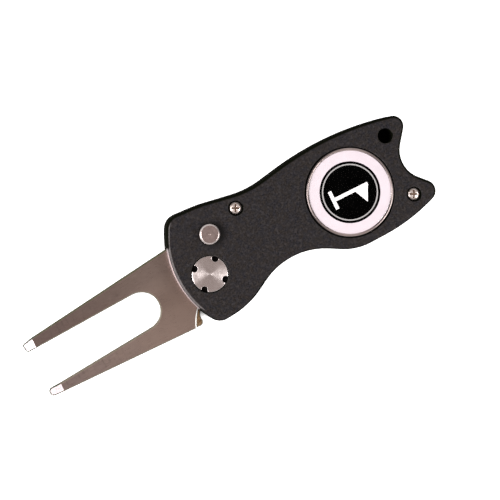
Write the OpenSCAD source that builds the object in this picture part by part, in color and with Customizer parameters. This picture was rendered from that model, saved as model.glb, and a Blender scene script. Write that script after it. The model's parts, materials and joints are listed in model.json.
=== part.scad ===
// Pop-out divot repair tool: a two-tine fork that folds into a two-shell handle,
// a push button that stops it, and a lift-off ball marker held by a magnet.
// Frame: origin on the fork pivot axis at the back face, +X towards the tail of the
// handle, +Y towards the button side, +Z out of the marker side.

/* [Handle] */
// Overall thickness of the handle
body_t = 9.6; // [9.4:0.1:10.6]
// Thickness of the plate behind the fork
back_plate_t = 3.2; // [3:0.1:3.4]
// Height of the space that the fork folds into
gap_t = 3.2; // [3:0.1:3.4]
// Rounding of the outer edges of both shells
edge_r = 1.1; // [0.4:0.1:1.2]
// Radius of the lanyard hole
lanyard_r = 2.1; // [1.6:0.1:2.3]

/* [Fork] */
// Thickness of the fork plate
fork_t = 2.6; // [2.2:0.1:2.7]
// Radius of the round end of the slot between the tines
slot_r = 5.35; // [5:0.05:5.5]
// Length of the ground facets at the two points
facet_l = 3.3; // [2:0.1:5]
// Thickness left at the very end of each point
point_t = 0.9; // [0.5:0.1:1.6]

/* [Pivot] */
// Radius of the pivot post where the fork turns on it
post_r = 3; // [2.6:0.1:3.2]
// Radial running clearance of the fork on the post
run_gap = 0.05; // [0.02:0.01:0.1]
// Radius of the notched pivot cap
cap_r = 5.05; // [4.6:0.05:5.1]
// Radius of each of the four notches in the cap
notch_r = 0.95; // [0.6:0.05:1]

/* [Button] */
// Radius of the button head
button_r = 2.88; // [2.6:0.02:3]
// How far the button stands out of the front face
button_proud = 1.5; // [1.1:0.1:1.8]
// How far the button moves when it is pressed
press = 1.5; // [1:0.1:1.6]

/* [Marker] */
// Diameter of the ball marker
marker_d = 25; // [24.4:0.1:25.2]
// How far the marker's rim stands out of the front face
marker_proud = 0.35; // [0.1:0.05:0.6]

/* [Hidden] */

$fn = 64;
eps = 0.01;
// a length longer than the tool
far = 100;

// heights
seam_z = body_t / 2;
gap_z0 = back_plate_t;
gap_z1 = back_plate_t + gap_t;
fork_z0 = gap_z0 + (gap_t - fork_t) / 2;
fork_z1 = fork_z0 + fork_t;

// corners of the handle outline: x, y and the radius of the arc that rounds the corner
handle_corners = [
    [-3.6, -13.7, 4.2],
    [6.4, -12.9, 24.7],
    [23.3, -3.0, 20.2],
    [40.4, -12.7, 16.2],
    [58.0, -12.2, 52.8],
    [70.8, -7.6, 3.1],
    [60.4, 3.1, 8.1],
    [70.2, 16.0, 3.0],
    [47.8, 21.1, 87.4],
    [20.3, 16.1, 26.1],
    [5.9, 18.6, 30.9],
    [-4.1, 19.2, 4.4],
    [-12.8, 1.8, 27.2]];

// corners of the fork, taken anticlockwise from the end of the upper tine
fork_corners = [
    [-52.1, 6.05, 3],
    [-55.5, 5.35, 0.8],
    [-54.9, 2.8, 0.8],
    [-52.3, 2.95, 3],
    [-21.2, 4.3, 0.5],
    [-21.2, -6.45, 0.5],
    [-50.5, -8.75, 3],
    [-54.6, -8.85, 1.1],
    [-54.3, -11.3, 1.1],
    [-50.5, -11.35, 4],
    [-7.6, -12.3, 0.9],
    [-5.0, -5.5, 0.5],
    [1.2, 6.0, 1],
    [-3.2, 11.97, 1.6]];

// ground points: x of the end, side of the fork, and length of the facet
fork_points = [[-55.4, 1, facet_l], [-54.5, -1, 1.2 * facet_l]];
slot_end = [-21.5, -1.1];
tang_r = 7.8;

// half-depth step on the heel: a round relief with a hub left standing round the pivot
step_at = [5.2, -17.9];
step_r = 16;
step_hub_r = 9.4;

// the closed fork lies this far round from the open one
closed_turn = 176;

// straight stop against which the fork's upper edge rests when it is open
stop_a = [-30, 8.724];
stop_b = [-1.8, 12.191];

// space for the fork: radii that its tang, heel and points need as it turns
tang_space_r = 8.2;
heel_sweep_r = 15.5;
tip_sweep_r = 56.8;
// direction in which the heel ends its turn, as a point well outside its circle
heel_end = [23.5, 33.85];
// edge against which the closed fork's back lies
closed_a = [10, 11.95];
closed_b = [far, 4.28];

// fasteners and holes, x and y
screw_at = [[14.65, 13.3], [61.9, -5.65]];
lanyard_at = [61.65, 12.75];
screw_head_r = 1.67;
screw_head_t = 1.25;
screw_top = body_t - 0.45;
screw_shank_r = 1;
screw_pilot_z = 1;
screw_dome = 32;
screw_steps = 6;
cross_l = 2.3;
cross_w = 0.5;
cross_t = 0.7;
cross_turn = 64;
counterbore_r = 2.07;
chamfer = 0.12;

// locating pegs of the front shell in sockets of the back shell
peg_at = [[30, 14.2], [62.3, 7.6]];
peg_r = 1.2;
peg_l = 1.6;
peg_gap = 0.05;
peg_end_gap = 0.2;

// pivot
spigot_r = 2.4;
spigot_z = 0.9;
cap_t = 1.55;
cap_z = body_t - 1.6;
cap_hole_r = cap_r + 0.15;
cap_shank_r = 1.5;
cap_shank_z = 4.2;
cap_edge = 0.12;
notch_at = cap_r - 0.45;
washer_r = 4.4;
washer_gap = 0.02;

// torsion spring
coil_r = 5.7;
coil_wire = 0.3;
coil_turns = 2.25;
coil_pitch = 0.68;
coil_z = 1.55;
coil_start = -75;
coil_sides = 8;
coil_step = 9;
coil_space_in = 4.75;
coil_space_out = 6.6;
coil_floor_z = 1.2;
fixed_leg = 4;
leg_slot_w = 0.8;
leg_slot_l = fixed_leg + 0.3;

// button
button_at = [4.77, 10.08];
barrel_r = 3.1;
barrel_gap = 0.1;
barrel_z0 = gap_z0 + 0.05;
barrel_z1 = gap_z1 - 0.05;
button_hole_r = button_r + 0.05;
button_well_z = barrel_z0 - press - 0.15;
button_bore_r = 1.8;
button_bore_top = barrel_z0 + 2.4;
button_chamfer = 0.42;
pip_r = 0.35;
pip_t = 0.12;
helix_r = 1.35;
helix_wire = 0.22;
helix_turns = 5;
helix_step = 20;

// marker
marker_at = [45.6, 2.95];
marker_r = marker_d / 2;
marker_floor_z = body_t - 1.6;
marker_hole_r = marker_r + 0.3;
marker_top = body_t + marker_proud;
marker_seat = marker_top - 0.5;
inlay_t = 0.2;
field_r = 11.7;
disc_r = 8.7;
ring_out = 8;
ring_in = 7.64;
dome_r = 11.65;
dome_rise = 0.32;
magnet_r = 5;
magnet_t = 1;
magnet_floor_z = marker_floor_z - 1.1;

// unit vector along v
function unit(v) = v / norm(v);

// the arc that rounds corner c between neighbours p and q
// each item is a point and the outline's outward direction there
function arc(p, c, q, r, turn_step, length_step) =
    let (a = unit(p - c))
    let (b = unit(q - c))
    let (half = acos(a * b) / 2)
    let (mid = c + unit(a + b) * r / sin(half))
    let (s = c + a * r / tan(half) - mid)
    let (side = cross(-a, b) > 0 ? 1 : -1)
    let (sweep = side * (180 - 2 * half))
    let (start = atan2(s[1], s[0]))
    let (by_turn = abs(sweep) / turn_step)
    let (by_length = abs(sweep) * PI / 180 * r / length_step)
    let (n = ceil(max(by_turn, by_length, 1)))
    [for (k = [0:n])
        let (w = start + sweep * k / n)
        let (d = [cos(w), sin(w)])
        [mid + r * d, side * d]];

// a closed outline with every corner rounded
function rounded(corners, turn_step, length_step) =
    let (n = len(corners))
    [for (i = [0:n - 1])
        let (p = corners[(i + n - 1) % n])
        let (c = corners[i])
        let (q = corners[(i + 1) % n])
        each arc([p[0], p[1]], [c[0], c[1]], [q[0], q[1]], c[2], turn_step, length_step)];

handle_edge = rounded(handle_corners, 10, 2.2);

// heights and insets of the rings that make one shell, from the seam to the outer face
round_steps = 5;
function shell_rings(face) =
    let (up = face > 0 ? 1 : -1)
    let (z1 = face > 0 ? body_t : 0)
    [[0, seam_z], for (k = [0:round_steps])
        let (w = 90 * k / round_steps)
        [edge_r * (1 - cos(w)), z1 - up * edge_r * (1 - sin(w))]];

// the whole outline can be seen from this point, so flat faces are fans of triangles about it
handle_middle = [22, 5];

// half of the handle, with a rounded outer edge; face is 1 for the front and -1 for the back
module shell_blank(face) {
    rings = shell_rings(face);
    n = len(handle_edge);
    m = len(rings);
    seam_hub = n * m;
    face_hub = n * m + 1;
    pts = [for (g = rings) for (e = handle_edge)
        [e[0][0] - g[0] * e[1][0], e[0][1] - g[0] * e[1][1], g[1]]];
    hubs = [for (g = [rings[0], rings[m - 1]]) [handle_middle[0], handle_middle[1], g[1]]];
    seam = [for (i = [0:n - 1]) [seam_hub, i, (i + 1) % n]];
    outer = [for (i = [0:n - 1]) [face_hub, (m - 1) * n + (i + 1) % n, (m - 1) * n + i]];
    walls = [for (j = [0:m - 2]) for (i = [0:n - 1])
        [j * n + (i + 1) % n, j * n + i, (j + 1) * n + i, (j + 1) * n + (i + 1) % n]];
    faces = [each seam, each outer, each walls];
    flipped = [for (f = faces) [for (i = [len(f) - 1:-1:0]) f[i]]];
    polyhedron([each pts, each hubs], face > 0 ? faces : flipped);
}

// outline of everything that the turning fork passes through
module fork_space() {
    circle(tang_space_r);
    translate(button_at)
        circle(barrel_r + barrel_gap);
    polygon([stop_a, [-30, -far], [1, -far], [1, 0], [2, 7], stop_b]);
    intersection() {
        circle(heel_sweep_r, $fn = 128);
        polygon([[0, 0], [0, -far], [far, -far], [far, 0], heel_end]);
    }
    intersection() {
        circle(tip_sweep_r, $fn = 256);
        polygon([[0, -far], [far, -far], closed_b, closed_a, [0, closed_a[1]]]);
    }
}

module z_hole(at, r, z0, z1) {
    translate([at[0], at[1], z0])
        cylinder(h = z1 - z0, r = r);
}

// hole with a chamfer at the outer face of the front shell
module front_hole(at, r, z0) {
    z_hole(at, r, z0, body_t + 1);
    translate([at[0], at[1], body_t - chamfer])
        cylinder(h = chamfer + eps, r1 = r, r2 = r + chamfer + eps);
}

module front_shell() {
    color("#343030") {
        difference() {
            shell_blank(1);
            translate([0, 0, seam_z - 1])
                linear_extrude(gap_z1 - seam_z + 1)
                    fork_space();
            z_hole([0, 0], post_r + run_gap, 0, body_t);
            front_hole([0, 0], cap_hole_r, cap_z);
            front_hole(button_at, button_hole_r, seam_z);
            for (p = screw_at) {
                z_hole(p, screw_shank_r + 0.1, 0, body_t);
                front_hole(p, counterbore_r, screw_top - screw_head_t);
            }
            front_hole(lanyard_at, lanyard_r, 0);
            front_hole(marker_at, marker_hole_r, marker_floor_z);
            z_hole(marker_at, magnet_r + 0.1, magnet_floor_z, body_t);
        }
        for (p = peg_at)
            z_hole(p, peg_r, seam_z - peg_l, seam_z + 1);
    }
}

module back_shell() {
    color("#343030")
    difference() {
        shell_blank(-1);
        translate([0, 0, gap_z0])
            linear_extrude(seam_z - gap_z0 + 1)
                fork_space();
        z_hole([0, 0], spigot_r, spigot_z, body_t);
        // ring-shaped pocket for the torsion spring, with a slot for its fixed leg
        translate([0, 0, coil_floor_z])
        difference() {
            cylinder(h = body_t, r = coil_space_out);
            translate([0, 0, -1])
                cylinder(h = body_t + 2, r = coil_space_in);
        }
        rotate(coil_start)
            translate([coil_r - leg_slot_w / 2, -leg_slot_l, coil_floor_z])
                cube([leg_slot_w, leg_slot_l, body_t]);
        z_hole(button_at, barrel_r + barrel_gap, button_well_z, body_t);
        for (p = screw_at)
            z_hole(p, screw_shank_r, screw_pilot_z, body_t);
        for (p = peg_at)
            z_hole(p, peg_r + peg_gap, seam_z - peg_l - peg_end_gap, body_t);
        z_hole(lanyard_at, lanyard_r, -1, body_t);
        translate([lanyard_at[0], lanyard_at[1], -eps])
            cylinder(h = chamfer + eps, r1 = lanyard_r + chamfer + eps, r2 = lanyard_r);
    }
}

module fork_plan() {
    difference() {
        union() {
            polygon([for (e = rounded(fork_corners, 12, 2.2)) e[0]]);
            circle(tang_r, $fn = 96);
        }
        translate(slot_end)
            circle(slot_r, $fn = 96);
        circle(post_r + run_gap);
        // curve of the heel that passes round the button's barrel
        rotate(-closed_turn)
            translate(button_at)
                circle(barrel_r + barrel_gap);
    }
}

// wedge removed from both faces of each point
module point_bevel() {
    depth = (fork_t - point_t) / 2;
    middle = (fork_z0 + fork_z1) / 2;
    for (p = fork_points)
        for (s = [-1, 1])
            translate([p[0], p[1] > 0 ? 20 : 0, middle + s * fork_t / 2])
                scale([1, 1, s])
                    rotate([90, 0, 0])
                        linear_extrude(20)
                            polygon([[-2, -depth - 2 * depth / p[2]], [p[2], 0], [p[2], 1], [-2, 1]]);
}

module heel_step() {
    z0 = fork_z0 + fork_t / 2;
    difference() {
        z_hole(step_at, step_r, z0, z0 + fork_t, $fn = 160);
        z_hole([0, 0], step_hub_r, z0 - 1, z0 + fork_t + 1);
    }
}

module fork() {
    color("#a39488")
    difference() {
        translate([0, 0, fork_z0])
            linear_extrude(fork_t)
                fork_plan();
        point_bevel();
        heel_step();
        // hole for the moving leg of the torsion spring
        rotate(coil_start)
            z_hole(leg_at, coil_wire + 0.15, 0, body_t);
    }
}

module pivot_post() {
    color("#b0aba6")
    difference() {
        union() {
            z_hole([0, 0], spigot_r - eps, spigot_z, gap_z0 + eps);
            z_hole([0, 0], post_r, gap_z0, cap_z - 0.02);
        }
        z_hole([0, 0], cap_shank_r, cap_shank_z - 0.3, body_t);
    }
}

module pivot_cap() {
    cap_top = cap_z + cap_t;
    color("#c9c2bf")
    difference() {
        rotate_extrude()
            polygon([[0, cap_shank_z], [cap_shank_r - eps, cap_shank_z],
                [cap_shank_r - eps, cap_z], [cap_r, cap_z], [cap_r, cap_top - cap_edge],
                [cap_r - cap_edge, cap_top], [0, cap_top]]);
        for (w = [45:90:315])
            rotate(w)
                z_hole([notch_at, 0], notch_r, cap_z - 1, body_t + 1);
    }
}

// stations of a coil about the z axis: each is a centre and the two directions across the wire
function coil_stations(r, turns, pitch, step) =
    [for (w = [0:step:360 * turns + 0.01])
        [[r * cos(w), r * sin(w), pitch * w / 360], [cos(w), sin(w), 0], [0, 0, 1]]];

// round wire through a list of stations
module wire_through(stations, wire) {
    n = coil_sides;
    m = len(stations);
    pts = [for (s = stations) for (k = [0:n - 1])
        let (u = 360 * k / n)
        s[0] + wire * (cos(u) * s[1] + sin(u) * s[2])];
    start = [for (k = [0:n - 1]) k];
    finish = [for (k = [n - 1:-1:0]) (m - 1) * n + k];
    sides = [for (j = [0:m - 2]) for (k = [0:n - 1]) each [
        [j * n + k, (j + 1) * n + k, (j + 1) * n + (k + 1) % n],
        [j * n + k, (j + 1) * n + (k + 1) % n, j * n + (k + 1) % n]]];
    polyhedron(pts, [start, finish, each sides]);
}

// the moving leg turns up out of the coil's last turn
leg_bend = 0.7;
leg_top = fork_z0 + 1.6 - coil_z;
last_w = 360 * coil_turns;
last_out = [cos(last_w), sin(last_w), 0];
last_along = [-sin(last_w), cos(last_w), 0];
last_at = [coil_r * cos(last_w), coil_r * sin(last_w), coil_pitch * coil_turns];
leg_at = last_at + leg_bend * last_along;
function bend_station(a) =
    [last_at + leg_bend * (sin(a) * last_along + (1 - cos(a)) * [0, 0, 1]), last_out,
        cos(a) * [0, 0, 1] - sin(a) * last_along];

module torsion_spring() {
    color("#8f8f92")
        translate([0, 0, coil_z])
            rotate(coil_start)
                wire_through([
                    [[coil_r, -fixed_leg, 0], [1, 0, 0], [0, 0, 1]],
                    each coil_stations(coil_r, coil_turns, coil_pitch, coil_step),
                    for (a = [18:18:90]) bend_station(a),
                    [[leg_at[0], leg_at[1], leg_top], last_out, -last_along]], coil_wire);
}

module washer(z0, z1) {
    difference() {
        z_hole([0, 0], washer_r, z0, z1);
        z_hole([0, 0], post_r + run_gap, z0 - 1, z1 + 1);
    }
}

module front_washer() {
    color("#b9924c")
        washer(fork_z1 + washer_gap, gap_z1);
}

module back_washer() {
    color("#b9924c")
        washer(gap_z0, fork_z0 - washer_gap);
}

module release_button() {
    top = body_t + button_proud;
    color("#b5a9a5")
        translate([button_at[0], button_at[1], 0])
            rotate_extrude()
                polygon([[0, button_bore_top], [button_bore_r, button_bore_top],
                    [button_bore_r, barrel_z0], [barrel_r, barrel_z0], [barrel_r, barrel_z1],
                    [button_r, barrel_z1], [button_r, top - button_chamfer],
                    [button_r - button_chamfer, top], [pip_r, top], [0, top + pip_t]]);
}

module button_spring() {
    z0 = button_well_z + helix_wire;
    z1 = button_bore_top - helix_wire;
    color("#8f8f92")
        translate([button_at[0], button_at[1], z0])
            wire_through(coil_stations(helix_r, helix_turns, (z1 - z0) / helix_turns,
                helix_step), helix_wire);
}

// profile of a domed head, from its rim to its top
function dome_profile(r, top, angle, steps) =
    let (ball = r / sin(angle))
    [for (k = [0:steps])
        let (w = angle * (1 - k / steps))
        [ball * sin(w), top - ball * (1 - cos(w))]];

module case_screws() {
    z_low = screw_pilot_z + 0.2;
    z_head = screw_top - screw_head_t;
    color("#c8c0bb")
        for (p = screw_at)
            translate([p[0], p[1], 0])
                difference() {
                    rotate_extrude()
                        polygon([[0, z_low], [screw_shank_r - eps, z_low],
                            [screw_shank_r - eps, z_head], [screw_head_r, z_head],
                            each dome_profile(screw_head_r, screw_top, screw_dome, screw_steps)]);
                    for (w = [cross_turn, cross_turn + 90])
                        rotate(w)
                            translate([-cross_l / 2, -cross_w / 2, screw_top - cross_t])
                                cube([cross_l, cross_w, 1]);
                }
}

module marker_magnet() {
    color("#9a9da2")
        z_hole(marker_at, magnet_r, magnet_floor_z, magnet_floor_z + magnet_t);
}

module marker_base() {
    rim = 0.3;
    color("#c9bdb9")
        translate([marker_at[0], marker_at[1], 0])
            rotate_extrude($fn = 128)
                polygon([[0, marker_floor_z], [marker_r - rim, marker_floor_z],
                    [marker_r, marker_floor_z + rim], [marker_r, marker_top - 0.4],
                    [marker_r - 0.08, marker_top - 0.2], [marker_r - 0.24, marker_top - 0.06],
                    [marker_r - 0.42, marker_top], [marker_r - 0.58, marker_top - 0.06],
                    [field_r, marker_top - 0.25], [field_r, marker_seat], [0, marker_seat]]);
}

module inlay_ring(outer, inner) {
    difference() {
        z_hole(marker_at, outer, marker_seat, marker_seat + inlay_t);
        z_hole(marker_at, inner, marker_seat - 1, marker_seat + 1);
    }
}

module marker_field() {
    color("#f6e9ef")
        inlay_ring(field_r - eps, disc_r, $fn = 128);
}

// plain flag on a stick, standing up along +X
module flag_plan() {
    pole_w = 1;
    translate([-5.6, -pole_w / 2])
        square([11.2, pole_w]);
    polygon([[5.6, 0], [3.4, -4.6], [1.2, 0]]);
    translate([-5.2, 0])
        square([1, 5.4], center = true);
}

module emblem_shape(z0, z1) {
    difference() {
        z_hole(marker_at, ring_out, z0, z1);
        z_hole(marker_at, ring_in, z0 - 1, z1 + 1);
    }
    translate([marker_at[0], marker_at[1], z0])
        linear_extrude(z1 - z0)
            flag_plan();
}

module marker_disc() {
    color("#0b0b0c")
    difference() {
        z_hole(marker_at, disc_r, marker_seat, marker_seat + inlay_t, $fn = 128);
        emblem_shape(marker_seat - 1, marker_seat + 1, $fn = 128);
    }
}

module marker_emblem() {
    color("#f2eff0")
        emblem_shape(marker_seat, marker_seat + inlay_t, $fn = 128);
}

module marker_dome() {
    z0 = marker_seat + inlay_t + 0.02;
    steps = 12;
    color("#ffffff", 0.35)
        translate([marker_at[0], marker_at[1], 0])
            rotate_extrude($fn = 128)
                polygon([[0, z0], [dome_r, z0], for (k = [0:steps])
                    let (w = 90 * k / steps)
                    [dome_r * cos(w), z0 + 0.06 + dome_rise * sin(w)]]);
}

front_shell();
back_shell();
fork();
pivot_post();
pivot_cap();
torsion_spring();
front_washer();
back_washer();
release_button();
button_spring();
case_screws();
marker_magnet();
marker_base();
marker_field();
marker_disc();
marker_emblem();
marker_dome();
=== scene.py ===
import json
import math

import bmesh
import bpy
from mathutils import Matrix, Vector

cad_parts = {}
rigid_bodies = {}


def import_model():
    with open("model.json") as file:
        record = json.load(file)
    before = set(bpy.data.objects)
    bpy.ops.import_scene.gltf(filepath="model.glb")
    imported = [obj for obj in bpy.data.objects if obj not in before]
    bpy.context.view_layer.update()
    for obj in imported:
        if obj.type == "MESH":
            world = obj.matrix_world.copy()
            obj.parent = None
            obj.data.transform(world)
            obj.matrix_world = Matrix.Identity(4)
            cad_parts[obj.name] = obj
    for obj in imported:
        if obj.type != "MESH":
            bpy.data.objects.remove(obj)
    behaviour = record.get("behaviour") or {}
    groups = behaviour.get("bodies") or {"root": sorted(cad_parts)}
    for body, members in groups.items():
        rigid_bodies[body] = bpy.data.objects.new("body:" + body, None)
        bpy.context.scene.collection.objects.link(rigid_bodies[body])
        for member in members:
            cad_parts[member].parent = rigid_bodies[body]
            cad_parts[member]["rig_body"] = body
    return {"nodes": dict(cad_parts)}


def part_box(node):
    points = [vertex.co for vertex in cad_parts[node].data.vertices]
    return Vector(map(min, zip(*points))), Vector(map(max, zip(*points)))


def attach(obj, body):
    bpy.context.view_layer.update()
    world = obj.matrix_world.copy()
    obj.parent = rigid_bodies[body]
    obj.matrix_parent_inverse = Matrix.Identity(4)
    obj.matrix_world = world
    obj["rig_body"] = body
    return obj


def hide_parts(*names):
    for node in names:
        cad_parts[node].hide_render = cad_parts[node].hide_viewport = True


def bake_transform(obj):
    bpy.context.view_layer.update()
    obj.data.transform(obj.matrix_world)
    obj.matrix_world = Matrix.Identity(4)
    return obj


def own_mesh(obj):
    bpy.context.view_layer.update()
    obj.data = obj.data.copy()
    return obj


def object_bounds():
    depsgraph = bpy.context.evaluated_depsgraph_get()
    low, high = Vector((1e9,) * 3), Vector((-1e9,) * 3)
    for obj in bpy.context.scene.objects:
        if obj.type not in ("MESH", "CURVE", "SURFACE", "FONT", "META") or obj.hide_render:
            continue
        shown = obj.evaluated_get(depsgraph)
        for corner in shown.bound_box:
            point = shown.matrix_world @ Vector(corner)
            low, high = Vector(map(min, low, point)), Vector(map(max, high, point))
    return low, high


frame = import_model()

CAD_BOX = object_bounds()
NODES = frame["nodes"]
MM = 0.001
FINE_RELIEF = 0.02 * MM
SHARP = 32  # degrees: edges sharper than this stay sharp and get rounded
SEGMENTS = 3  # of a rounded edge
SAME_POINT = 0.001 * MM
SAME_FACE = math.radians(0.3)

# directions of the picture in the row frame: to its right and to its top
ROLL = math.radians(26.5)
RIGHT = Vector((math.cos(ROLL), -math.sin(ROLL), 0))
TOP = Vector((math.sin(ROLL), math.cos(ROLL), 0))

FACE_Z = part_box("front_shell")[1].z
SCREW_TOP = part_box("case_screws")[1].z

# places where the painted light and shade and the finish change, in millimetres: each runs from where it has no
# effect to where it has all
MOUTH_TOP_Y, MOUTH_LOW_Y = (11.8, 11.0), (-7.6, -6.9)
HIGHLIGHT_LOW_Y = (-8.6, -7.8)
LIP_X, LIP_FLOOR_Z, LIP_TOP_Z = (-5.6, -6.2), (6.35, 6.4), (9.5, 9.4)
ROOT_X, LOWER_ROOT_Y = (-32.0, -16.0), (2.0, -5.0)
UPPER_TINE_X, UPPER_TINE_Y = (-40.0, -26.0), (2.0, 6.0)
INNER_EDGE_Y = (1.0, -1.0)
POINTS_X, FACETS_X = (-50.5, -51.5), (-49.0, -50.0)
SLOT_END_X, SLOT_END_Z = (-19.0, -18.0), (3.8, 4.0)
STEP_FLOOR_Z = (4.9, 4.85)
STEP_CORNER_X, STEP_CORNER_Y, STEP_CORNER_Z = (-12.5, -12.0), (-5.0, -6.0), (5.0, 5.3)


def middle(node):
    low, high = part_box(node)
    return (low + high) / 2


PIVOT = (0, 0, 0)
button_axis = middle("release_button")
marker_axis = middle("marker_base")


# ---------------------------------------------------------------- node materials


class Look:
    """A node material under construction, in the object's own coordinates scaled to millimetres."""

    def __init__(self, name):
        self.material = bpy.data.materials.new(name)
        self.material.use_nodes = True
        self.tree = self.material.node_tree
        self.bsdf = self.tree.nodes["Principled BSDF"]
        coords = self.node("ShaderNodeTexCoord")
        self.mm = self.vector("SCALE", coords.outputs["Object"], scale=1 / MM)

    def node(self, kind, **settings):
        made = self.tree.nodes.new(kind)
        for key, value in settings.items():
            setattr(made, key, value)
        return made

    def put(self, socket, value):
        if isinstance(value, bpy.types.NodeSocket):
            self.tree.links.new(value, socket)
        else:
            socket.default_value = value

    def vector(self, operation, a, b=None, scale=None):
        made = self.node("ShaderNodeVectorMath", operation=operation)
        self.put(made.inputs[0], a)
        if b is not None:
            self.put(made.inputs[1], b)
        if scale is not None:
            self.put(made.inputs["Scale"], scale)
        return made.outputs["Value" if operation in ("LENGTH", "DOT_PRODUCT") else "Vector"]

    def math(self, operation, a, b=0.0):
        made = self.node("ShaderNodeMath", operation=operation)
        for socket, value in zip(made.inputs, (a, b)):
            self.put(socket, value)
        return made.outputs[0]

    def product(self, first, *others):
        """several masks multiplied together"""
        for other in others:
            first = self.math("MULTIPLY", first, other)
        return first

    def split(self, vector):
        made = self.node("ShaderNodeSeparateXYZ")
        self.put(made.inputs[0], vector)
        return made.outputs

    def join(self, x, y, z):
        made = self.node("ShaderNodeCombineXYZ")
        for socket, value in zip(made.inputs, (x, y, z)):
            self.put(socket, value)
        return made.outputs[0]

    def noise(self, scale, detail=2.0, rough=0.5, at=None):
        made = self.node("ShaderNodeTexNoise")
        self.put(made.inputs["Vector"], at or self.mm)
        self.put(made.inputs["Scale"], scale)
        self.put(made.inputs["Detail"], detail)
        self.put(made.inputs["Roughness"], rough)
        return made.outputs["Fac"]

    def cells(self, scale):
        made = self.node("ShaderNodeTexVoronoi")
        self.put(made.inputs["Vector"], self.mm)
        self.put(made.inputs["Scale"], scale)
        return made.outputs

    def span(self, value, low, high, to_low=0.0, to_high=1.0):
        """a clamped ramp: to_low where the value is at low, to_high where it is at high (low may exceed high)"""
        made = self.node("ShaderNodeMapRange")
        made.clamp = True
        for socket, number in zip(made.inputs, (value, low, high, to_low, to_high)):
            self.put(socket, number)
        return made.outputs[0]

    def mix(self, factor, a, b):
        made = self.node("ShaderNodeMix", data_type="RGBA")
        self.put(made.inputs[0], factor)
        self.put(made.inputs[6], a if isinstance(a, bpy.types.NodeSocket) else tuple(a) + (1,))
        self.put(made.inputs[7], b if isinstance(b, bpy.types.NodeSocket) else tuple(b) + (1,))
        return made.outputs[2]

    def bump(self, height, strength, distance, below=None):
        made = self.node("ShaderNodeBump")
        self.put(made.inputs["Height"], height)
        self.put(made.inputs["Strength"], strength)
        self.put(made.inputs["Distance"], distance)
        if below is not None:
            self.put(made.inputs["Normal"], below)
        return made.outputs["Normal"]

    def normal(self):
        """the surface normal in the object's own axes"""
        geometry = self.node("ShaderNodeNewGeometry")
        turn = self.node(
            "ShaderNodeVectorTransform", vector_type="NORMAL", convert_from="WORLD", convert_to="OBJECT"
        )
        self.put(turn.inputs[0], geometry.outputs["Normal"])
        return turn.outputs[0]

    def round_grain(self, centre, lines, strength, distance):
        """fine turned rings about a vertical axis, their relief, and the direction across them"""
        away = self.vector("SUBTRACT", self.mm, tuple(c / MM for c in centre))
        x, y, _ = self.split(away)
        radius = self.vector("LENGTH", self.join(x, y, 0.0))
        rings = self.noise(lines, 3.0, 0.6, self.join(radius, 0.0, 0.0))
        outward = self.vector("NORMALIZE", self.join(x, y, 0.0))
        turn = self.node(
            "ShaderNodeVectorTransform", vector_type="VECTOR", convert_from="OBJECT", convert_to="WORLD"
        )
        self.put(turn.inputs[0], outward)
        return rings, self.bump(rings, strength, distance), turn.outputs[0]

    def set(self, **values):
        for key, value in values.items():
            self.put(self.bsdf.inputs[key.replace("_", " ")], value)
        return self.material


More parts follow.
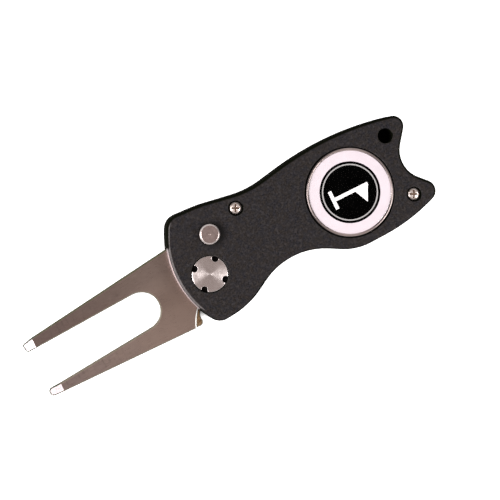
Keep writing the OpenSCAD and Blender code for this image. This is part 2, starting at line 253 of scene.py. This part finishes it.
def coat():
    """charcoal powder coat: mottled grain and flecks, painted shade on the side walls, a painted highlight along
    the front edge, a painted reflection at the fork's mouth and a painted shadow beside the button
    """
    # a painted reflection, a painted highlight, painted shade and a painted shadow, in that order
    lip_reflection = (0.46, 0.40, 0.415)
    edge_highlight_grey = (0.125, 0.113, 0.113)
    shaded_wall = (0.0030, 0.0034, 0.0018)
    painted_shade = (0.0045, 0.0040, 0.0042)
    look = Look("coat")
    x, y, z = look.split(look.mm)
    facing = look.split(look.normal())
    up = look.math("ABSOLUTE", facing[2])
    sideways = look.split(look.vector("NORMALIZE", look.join(facing[0], facing[1], 0.0)))
    # dark and pale grain in two hues, with clouds, clumps and a few bright flecks
    grain = look.noise(2.4, 3.0, 0.6)
    cloud = look.noise(0.5, 3.0, 0.6)
    hue = look.span(look.noise(0.9, 2.0, 0.5, look.vector("ADD", look.mm, (31.0, 7.0, 3.0))), 0.4, 0.6)
    dark = look.mix(hue, (0.0036, 0.0036, 0.0048), (0.0052, 0.0040, 0.0036))
    pale = look.mix(hue, (0.0210, 0.0195, 0.0235), (0.0262, 0.0212, 0.0190))
    base = look.mix(look.span(grain, 0.38, 0.66), dark, pale)
    base = look.mix(look.span(cloud, 0.35, 0.65, 0.0, 0.5), base, (0.0160, 0.0138, 0.0138))
    clump = look.noise(1.3, 2.0, 0.7, look.vector("ADD", look.mm, (5.0, 17.0, 1.0)))
    base = look.mix(look.span(clump, 0.52, 0.66, 0.0, 0.62), base, (0.0320, 0.0283, 0.0290))
    fleck = look.cells(1.7)
    bright = look.product(look.span(fleck["Distance"], 0.16, 0.06), look.span(fleck["Color"], 0.7, 0.8))
    base = look.mix(bright, base, (0.065, 0.057, 0.059))
    # painted shadow beside the button, on the side away from the fork
    shadow_centre = (button_axis + RIGHT * MM) / MM
    beside = look.split(look.vector("SUBTRACT", look.mm, tuple(shadow_centre)))
    near = look.vector("LENGTH", look.join(beside[0], beside[1], 0.0))
    base = look.mix(look.span(near, 4.5, 2.8, 0.0, 0.8), base, painted_shade)
    # the edge turns dark sooner on the spine and at the tail than on the belly
    spine = look.span(sideways[1], -0.3, 0.6, 0.70, 0.97)
    turn = look.math("MAXIMUM", spine, look.span(sideways[0], 0.1, 0.6, 0.70, 0.95))
    wall = look.span(look.math("SUBTRACT", up, turn), 0.01, -0.09)
    # seen from above the edge lies in shade, and seen from the side it is lit like the face
    above = look.split(look.node("ShaderNodeNewGeometry").outputs["Incoming"])[2]
    wall = look.product(wall, look.span(above, 0.72, 0.92, 0.12, 1.0))
    base = look.mix(wall, base, shaded_wall)
    # painted highlight: along the front the edge is painted grey where it faces the left lamp, more so over the
    # fork
    over_fork = look.product(look.span(y, *MOUTH_TOP_Y), look.span(y, *MOUTH_LOW_Y))
    start = look.span(over_fork, 0.0, 1.0, 0.90, 0.72)
    edge_highlight = look.product(
        look.span(look.math("SUBTRACT", up, start), 0.0, 0.04),
        look.span(up, 0.992, 0.965),
        look.span(sideways[0], -0.45, -0.75),
        look.span(y, *HIGHLIGHT_LOW_Y),
        look.span(grain, 0.35, 0.6, 0.45, 1.0),
    )
    base = look.mix(edge_highlight, base, edge_highlight_grey)
    # and a painted reflection on the front shell's lip, where the fork swings past: painted pale and made part
    # metal, standing in for the fork's light thrown onto it
    lip = look.product(
        look.span(z, *LIP_FLOOR_Z),
        look.span(z, *LIP_TOP_Z),
        over_fork,
        look.span(x, *LIP_X),
        look.span(up, 0.70, 0.5),
    )
    base = look.mix(lip, base, lip_reflection)
    rough = look.span(grain, 0.25, 0.75, 0.75, 0.6)
    pits = look.noise(5.5, 2.0, 0.6)
    return look.set(
        Base_Color=base,
        Metallic=look.math("MULTIPLY", lip, 0.6),
        Roughness=look.mix(lip, look.join(rough, rough, rough), (0.35, 0.35, 0.35)),
        Specular_IOR_Level=look.span(wall, 0.0, 1.0, 0.09, 0.01),
        Normal=look.bump(grain, 0.4, 0.08 * MM, look.bump(pits, 0.2, 0.03 * MM)),
    )


def satin_fork():
    """satin stainless plate: long brushing, handling marks, bright ground points, and painted light and shade:
    dark edges, a paler root, a darker upper tine, a golden step and a lit slot end and step corner
    """
    scratched = (0.7, 0.64, 0.62)
    reflected_gold, reflected_brown = (0.80, 0.58, 0.34), (0.22, 0.12, 0.06)
    outer_edge_shade, inner_edge_shade, lower_edge_shade = (0.075, 0.072, 0.045), (0.15, 0.13, 0.10), (0.12, 0.105, 0.08)
    point_edge_shade = (0.055, 0.066, 0.045)
    look = Look("satin_fork")
    x, y, z = look.split(look.mm)
    normal = look.normal()
    facing = look.split(normal)
    up = look.math("ABSOLUTE", facing[2])
    brushed = look.noise(9.0, 3.0, 0.7, look.join(look.math("MULTIPLY", x, 0.05), y, z))
    cloud = look.noise(0.2, 3.0, 0.6)
    slant = look.join(look.math("MULTIPLY", look.math("ADD", x, y), 0.12), look.math("SUBTRACT", y, x), 0.0)
    scratch = look.noise(3.0, 4.0, 0.8, slant)
    cross = look.noise(1.3, 3.0, 0.7, look.join(x, look.math("MULTIPLY", y, 0.15), 0.0))
    # painted light and shade: the face is paler at the lower root, darker on the upper tine and towards the
    # points
    base = look.mix(look.span(cloud, 0.3, 0.7), (0.395, 0.308, 0.273), (0.435, 0.336, 0.288))
    lit_root = look.product(look.span(x, *ROOT_X), look.span(y, *LOWER_ROOT_Y, 0.0, 0.8))
    base = look.mix(lit_root, base, (0.56, 0.435, 0.375))
    shaded_tine = look.product(look.span(x, *UPPER_TINE_X), look.span(y, *UPPER_TINE_Y, 0.0, 0.8))
    base = look.mix(shaded_tine, base, (0.305, 0.238, 0.21))
    base = look.mix(look.span(x, -22.0, -46.0, 0.0, 0.4), base, (0.29, 0.235, 0.24))
    streaks = look.product(look.span(cross, 0.55, 0.68), look.span(x, -22.0, -36.0, 0.0, 0.45))
    base = look.mix(streaks, base, (0.20, 0.17, 0.15))
    base = look.mix(look.span(scratch, 0.64, 0.8, 0.0, 0.4), base, scratched)
    # painted reflection: the step cut in the heel is tinted golden brown
    step = look.product(look.span(z, *STEP_FLOOR_Z), look.span(facing[2], 0.9, 0.95))
    base = look.mix(step, base, look.mix(look.span(scratch, 0.4, 0.6), reflected_gold, reflected_brown))
    # painted shade: the rounded edges are dark, less so on the lower side of each tine
    at_points = look.span(x, *POINTS_X)
    limit = look.span(x, *POINTS_X, 0.985, 0.95)
    edge = look.span(look.math("SUBTRACT", up, limit), 0.0, -0.03)
    lower = look.span(look.vector("DOT_PRODUCT", normal, tuple(TOP)), 0.0, -0.2)
    upper_edge_shade = look.mix(look.span(y, *INNER_EDGE_Y), outer_edge_shade, inner_edge_shade)
    edge_shade = look.mix(at_points, look.mix(lower, upper_edge_shade, lower_edge_shade), point_edge_shade)
    base = look.mix(edge, base, edge_shade)
    # the wall at the slot's round end and the corner of the heel's step are lit
    slot_end = look.product(
        look.span(facing[0], -0.35, -0.7),
        look.span(x, *SLOT_END_X),
        look.span(up, 0.35, 0.2),
        look.span(z, *SLOT_END_Z),
    )
    base = look.mix(slot_end, base, (0.42, 0.43, 0.40))
    corner = look.product(
        look.span(facing[0], 0.2, 0.3),
        look.span(x, *STEP_CORNER_X),
        look.span(y, *STEP_CORNER_Y),
        look.span(z, *STEP_CORNER_Z),
    )
    base = look.mix(corner, base, (0.95, 0.95, 0.93))
    # freshly ground facets at the two points
    ground = look.product(
        look.span(up, 0.985, 0.975),
        look.span(up, 0.93, 0.95),
        look.span(facing[0], -0.12, -0.16),
        look.span(x, *FACETS_X),
    )
    base = look.mix(ground, base, (0.66, 0.59, 0.63))
    rough = look.math("ADD", look.span(brushed, 0.3, 0.7, 0.26, 0.36), look.span(edge, 0.0, 1.0, 0.0, 0.4))
    return look.set(
        Base_Color=base,
        Metallic=look.span(edge, 0.0, 0.6, 1.0, 0.0),
        Roughness=rough,
        Specular_IOR_Level=look.span(edge, 0.0, 1.0, 0.5, 0.03),
        Anisotropic=0.35,
        Normal=look.bump(brushed, 0.10, FINE_RELIEF, look.bump(scratch, 0.06, FINE_RELIEF)),
    )


def turned(name, centre, colour, rough=0.3, lines=7.0, anisotropic=0.8, walls=0.0, rim=0.0, sides=0.0):
    """steel faced in a lathe: rings about the part's own axis spread the highlights into wedges

    walls and sides say how far the vertical walls and what faces the picture's left and right are darkened with
    painted shade, and rim how far the chamfer is brightened with a painted highlight.
    """
    look = Look(name)
    rings, relief, across = look.round_grain(centre, lines, 0.18, FINE_RELIEF)
    blotch = look.noise(0.9, 3.0, 0.6)
    darker = tuple(c * 0.82 for c in colour)
    marks = look.math("ADD", rings, look.math("MULTIPLY", blotch, 0.5))
    base = look.mix(look.span(marks, 0.5, 1.0), darker, colour)
    normal = look.normal()
    up = look.math("ABSOLUTE", look.split(normal)[2])
    # painted highlight: the chamfer is brightened towards white
    chamfer = look.product(look.span(up, 0.93, 0.85), look.span(up, 0.45, 0.6), rim)
    base = look.mix(chamfer, base, (1.0, 0.97, 0.96))
    # painted shade on what faces the picture's left and right
    if sides:
        level = look.math("ABSOLUTE", look.vector("DOT_PRODUCT", normal, tuple(RIGHT)))
        base = look.mix(look.span(level, 0.1, 0.4, 0.0, sides), base, (0.10, 0.085, 0.083))
    # painted shade on the vertical walls
    base = look.mix(look.span(up, 0.35, 0.15, 0.0, walls), base, (0.02, 0.018, 0.017))
    return look.set(
        Base_Color=base,
        Metallic=1.0,
        Roughness=look.span(blotch, 0.3, 0.7, rough * 0.9, rough * 1.15),
        Anisotropic=anisotropic,
        Tangent=across,
        Normal=relief,
    )


def metal(name, colour, rough):
    """plain plated or drawn metal with fine streaks and small stains"""
    look = Look(name)
    fine = look.noise(4.0, 4.0, 0.65)
    stain = look.noise(0.6, 2.0, 0.6)
    darker = tuple(c * 0.75 for c in colour)
    return look.set(
        Base_Color=look.mix(look.span(stain, 0.35, 0.65), darker, colour),
        Metallic=1.0,
        Roughness=look.span(fine, 0.3, 0.7, rough * 0.8, rough * 1.25),
        Normal=look.bump(fine, 0.1, FINE_RELIEF),
    )


def screw_plate():
    """nickel screw heads, warm grey, with painted brown shade down in the cross"""
    cross_top, cross_floor = SCREW_TOP / MM - 0.45, SCREW_TOP / MM - 0.6
    look = Look("screw_nickel")
    z = look.split(look.mm)[2]
    fine = look.noise(1.8, 4.0, 0.65)
    nickel = look.mix(look.span(fine, 0.35, 0.65), (0.62, 0.50, 0.44), (0.92, 0.86, 0.84))
    # painted shade: the cross recess turns dark brown towards its floor
    painted_shade = look.mix(look.span(fine, 0.4, 0.6), (0.12, 0.07, 0.045), (0.42, 0.30, 0.23))
    return look.set(
        Base_Color=look.mix(look.span(z, cross_top, cross_floor), nickel, painted_shade),
        Metallic=0.85,
        Roughness=look.span(fine, 0.3, 0.7, 0.2, 0.34),
        Normal=look.bump(fine, 0.3, 2 * FINE_RELIEF),
    )


def enamel(name, colour, second, rough=0.16, gloss=0.2, grey_from=None):
    """glossy coloured layer with a faint orange-peel surface, grey outside a radius round the marker's axis"""
    grey = (0.34, 0.33, 0.33)
    look = Look(name)
    tone = look.noise(0.25, 2.0, 0.5)
    peel = look.noise(1.6, 2.0, 0.5)
    base = look.mix(look.span(tone, 0.3, 0.7), colour, second)
    if grey_from:
        x, y, _ = look.split(look.vector("SUBTRACT", look.mm, tuple(marker_axis / MM)))
        radius = look.vector("LENGTH", look.join(x, y, 0.0))
        base = look.mix(look.span(radius, grey_from, grey_from + 0.2), base, grey)
    return look.set(
        Base_Color=base,
        Roughness=look.span(peel, 0.3, 0.7, rough * 0.8, rough * 1.2),
        Specular_IOR_Level=gloss,
        Normal=look.bump(peel, 0.04, 0.03 * MM),
    )


def clear_resin():
    """clear dome: see-through, with a glossy top surface and a few faint swirls"""
    look = Look("clear_resin")
    swirl = look.noise(0.5, 2.0, 0.5)
    relief = look.bump(swirl, 0.05, 0.05 * MM)
    fresnel = look.node("ShaderNodeFresnel")
    look.put(fresnel.inputs["IOR"], 1.45)
    look.put(fresnel.inputs["Normal"], relief)
    # only the outside of the top reflects, and light passes to the layers below
    up = look.split(look.normal())[2]
    top = look.span(up, 0.0, 0.1)
    outside = look.math("SUBTRACT", 1.0, look.node("ShaderNodeNewGeometry").outputs["Backfacing"])
    lit = look.math("SUBTRACT", 1.0, look.node("ShaderNodeLightPath").outputs["Is Shadow Ray"])
    # coated against glare, so that only its curved edge shines
    curved = look.span(up, 0.9995, 0.99, 0.06, 1.0)
    amount = look.product(top, outside, lit, fresnel.outputs[0], curved)
    clear = look.node("ShaderNodeBsdfTransparent")
    look.put(clear.inputs[0], look.mix(swirl, (0.98, 0.98, 0.98), (1.0, 1.0, 1.0)))
    gloss = look.node("ShaderNodeBsdfGlossy")
    look.put(gloss.inputs["Roughness"], look.span(swirl, 0.3, 0.7, 0.03, 0.08))
    look.put(gloss.inputs["Normal"], relief)
    both = look.node("ShaderNodeMixShader")
    look.put(both.inputs[0], amount)
    look.put(both.inputs[1], clear.outputs[0])
    look.put(both.inputs[2], gloss.outputs[0])
    out = look.tree.nodes["Material Output"]
    look.tree.links.new(both.outputs[0], out.inputs["Surface"])
    look.tree.nodes.remove(look.bsdf)
    return look.material


def bench():
    """plain pale floor that glows where nothing stands over it

    Other surfaces see it grey, and it hides nothing from a camera under it.
    """
    look = Look("floor")
    shade, grey = (0.01, 0.01, 0.01), (0.34, 0.34, 0.33)
    tone = look.noise(0.004, 2.0, 0.5)
    cover = look.node("ShaderNodeAmbientOcclusion", samples=16)
    look.put(cover.inputs["Distance"], 8 * MM)
    open_sky = look.span(cover.outputs["AO"], 0.25, 0.4)
    seen = look.node("ShaderNodeLightPath").outputs["Is Camera Ray"]
    below = look.node("ShaderNodeNewGeometry").outputs["Backfacing"]
    pale = look.mix(open_sky, shade, look.mix(tone, (0.9, 0.9, 0.9), (0.93, 0.93, 0.93)))
    return look.set(
        Base_Color=look.mix(seen, grey, pale),
        Roughness=0.9,
        Specular_IOR_Level=0.1,
        Emission_Color=(1.0, 1.0, 1.0, 1.0),
        Emission_Strength=look.product(seen, open_sky, 0.8),
        Alpha=look.math("SUBTRACT", 1.0, look.math("MULTIPLY", seen, below)),
    )


# ---------------------------------------------------------------- pieces


def copied(node, name, material, angle=SHARP, whole=True):
    """a new piece in place of a CAD node: flat faces can be made whole, and round ones are shaded smooth"""
    mesh = bpy.data.meshes.new(name)
    work = bmesh.new()
    work.from_mesh(NODES[node].data)
    bmesh.ops.remove_doubles(work, verts=work.verts, dist=SAME_POINT)
    if whole:
        bmesh.ops.dissolve_limit(work, angle_limit=SAME_FACE, verts=work.verts, edges=work.edges)
    for face in work.faces:
        face.smooth = True
    work.to_mesh(mesh)
    work.free()
    mesh.set_sharp_from_angle(angle=math.radians(angle))
    mesh.materials.append(material)
    piece = bpy.data.objects.new(name, mesh)
    bpy.context.scene.collection.objects.link(piece)
    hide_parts(node)
    return piece


def refined(node, name, material, width, whole=True, clamp=True):
    """a copied piece whose sharp edges are rounded"""
    piece = copied(node, name, material, whole=whole)
    bevel = piece.modifiers.new("rounded_edges", "BEVEL")
    bevel.width = width
    bevel.segments = SEGMENTS
    bevel.limit_method = "ANGLE"
    bevel.angle_limit = math.radians(SHARP)
    bevel.use_clamp_overlap = clamp
    even = piece.modifiers.new("even_shading", "WEIGHTED_NORMAL")
    even.keep_sharp = True
    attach(piece, NODES[node]["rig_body"])
    return piece


def dress(node, material):
    """a better material on a CAD node that stays as it is"""
    mesh = NODES[node].data
    mesh.materials.clear()
    mesh.materials.append(material)


def flexing_springs():
    """the two springs as smooth-shaded copies: the torsion spring's coil stays where it is, and the button
    spring's coil rides with the handle
    """
    wire = metal("spring_wire", (0.5, 0.5, 0.52), 0.35)
    coil = copied("torsion_spring", "torsion_coil", wire, 60)
    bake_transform(coil)
    helix = copied("button_spring", "button_coil", wire, 60)
    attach(helix, "handle")
    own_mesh(helix)


COAT = coat()
CAP = turned("cap_steel", PIVOT, (0.98, 0.90, 0.89), 0.26, anisotropic=0.85, walls=0.9)
BUTTON = turned("button_steel", button_axis, (0.63, 0.52, 0.50), 0.28, anisotropic=0.0, rim=0.35)
RIM = turned("rim_chrome", marker_axis, (0.56, 0.46, 0.44), lines=2.0, anisotropic=0.3, sides=0.95)
POST = turned("post_steel", PIVOT, (0.6, 0.6, 0.6))
NICKEL = metal("magnet_nickel", (0.55, 0.56, 0.58), 0.25)
BRONZE = metal("bronze", (0.62, 0.44, 0.22), 0.4)

refined("front_shell", "shell_front", COAT, 0.12 * MM, whole=False)
refined("back_shell", "shell_back", COAT, 0.12 * MM, whole=False)
refined("fork", "fork_plate", satin_fork(), 0.34 * MM, clamp=False)
refined("pivot_cap", "pivot_cap_turned", CAP, 0.05 * MM)
refined("release_button", "button_turned", BUTTON, 0.06 * MM)
refined("case_screws", "screws_cross", screw_plate(), 0.05 * MM)
refined("marker_base", "marker_rim", RIM, 0.04 * MM)
refined("pivot_post", "post_turned", POST, 0.1 * MM)
refined("marker_magnet", "magnet_disc", NICKEL, 0.1 * MM)
flexing_springs()
dome = copied("marker_dome", "dome_clear", clear_resin(), whole=False)
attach(dome, NODES["marker_dome"]["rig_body"])
for node, material in (
    ("front_washer", BRONZE),
    ("back_washer", BRONZE),
    ("marker_field", enamel("field_white", (0.565, 0.505, 0.545), (0.595, 0.53, 0.57))),
    ("marker_disc", enamel("disc_black", (0.0005, 0.0005, 0.0005), (0.001, 0.001, 0.001), 0.3, gloss=0.0)),
    ("marker_emblem", enamel("emblem_light", (0.86, 0.84, 0.85), (0.9, 0.88, 0.89), grey_from=7.2)),
):
    dress(node, material)


# ---------------------------------------------------------------- stage, light and camera


def make_floor():
    mesh = bpy.data.meshes.new("floor")
    half = 1.5
    corners = [(-half, -half, 0), (half, -half, 0), (half, half, 0), (-half, half, 0)]
    mesh.from_pydata(corners, [], [(0, 1, 2, 3)])
    mesh.materials.append(bench())
    floor = bpy.data.objects.new("floor", mesh)
    bpy.context.scene.collection.objects.link(floor)
    floor.location.z = CAD_BOX[0].z - 0.02 * MM


def soft_light(name, right, top, height, size, power, colour):
    """a square soft light, placed by how far it is to the picture's right and top"""
    light = bpy.data.lights.new(name, "AREA")
    light.shape = "SQUARE"
    light.size = size
    light.energy = power
    light.color = colour
    lamp = bpy.data.objects.new(name, light)
    bpy.context.scene.collection.objects.link(lamp)
    lamp.location = RIGHT * right + TOP * top + Vector((0, 0, height))
    aim = Vector((0.01, 0, 0)) - lamp.location
    lamp.rotation_euler = aim.to_track_quat("-Z", "Y").to_euler()


def make_world():
    """a room that is dim overhead and pale towards the horizon"""
    world = bpy.data.worlds.new("studio")
    world.use_nodes = True
    tree = world.node_tree
    coords = tree.nodes.new("ShaderNodeTexCoord")
    split = tree.nodes.new("ShaderNodeSeparateXYZ")
    ramp = tree.nodes.new("ShaderNodeValToRGB")
    stops = (
        (0.0, (0.8, 0.8, 0.8)),
        (0.55, (0.75, 0.74, 0.73)),
        (0.8, (0.42, 0.37, 0.34)),
        (1.0, (0.30, 0.25, 0.235)),
    )
    elements = ramp.color_ramp.elements
    while len(elements) < len(stops):
        elements.new(0.5)
    for element, (at, colour) in zip(elements, stops):
        element.position = at
        element.color = colour + (1,)
    tree.links.new(coords.outputs["Generated"], split.inputs[0])
    tree.links.new(split.outputs[2], ramp.inputs[0])
    tree.links.new(ramp.outputs[0], tree.nodes["Background"].inputs[0])
    tree.nodes["Background"].inputs[1].default_value = 1.0
    bpy.context.scene.world = world


def make_camera():
    tilt = math.radians(7.57)
    bearing = math.radians(139.2)
    distance = 0.5237
    target = Vector((13.06 * MM, 1.03 * MM, FACE_Z))
    toward = Vector((math.cos(bearing), math.sin(bearing), 0))
    back = toward * math.sin(tilt) + Vector((0, 0, math.cos(tilt)))
    side = (RIGHT - back * RIGHT.dot(back)).normalized()
    up = back.cross(side)
    camera = bpy.data.cameras.new("camera")
    camera.lens = 135
    camera.clip_start = 0.01
    body = bpy.data.objects.new("camera", camera)
    bpy.context.scene.collection.objects.link(body)
    turn = Matrix((side, up, back)).transposed()
    body.matrix_world = Matrix.Translation(target + back * distance) @ turn.to_4x4()
    bpy.context.scene.camera = body


make_floor()
make_world()
make_camera()
soft_light("left_soft", right=-0.6, top=-0.12, height=0.45, size=0.5, power=9.6, colour=(1.0, 0.97, 0.96))
soft_light("right_soft", right=0.6, top=-0.15, height=0.4, size=0.35, power=5, colour=(1.0, 0.98, 0.97))
bpy.context.scene.view_settings.view_transform = "Standard"
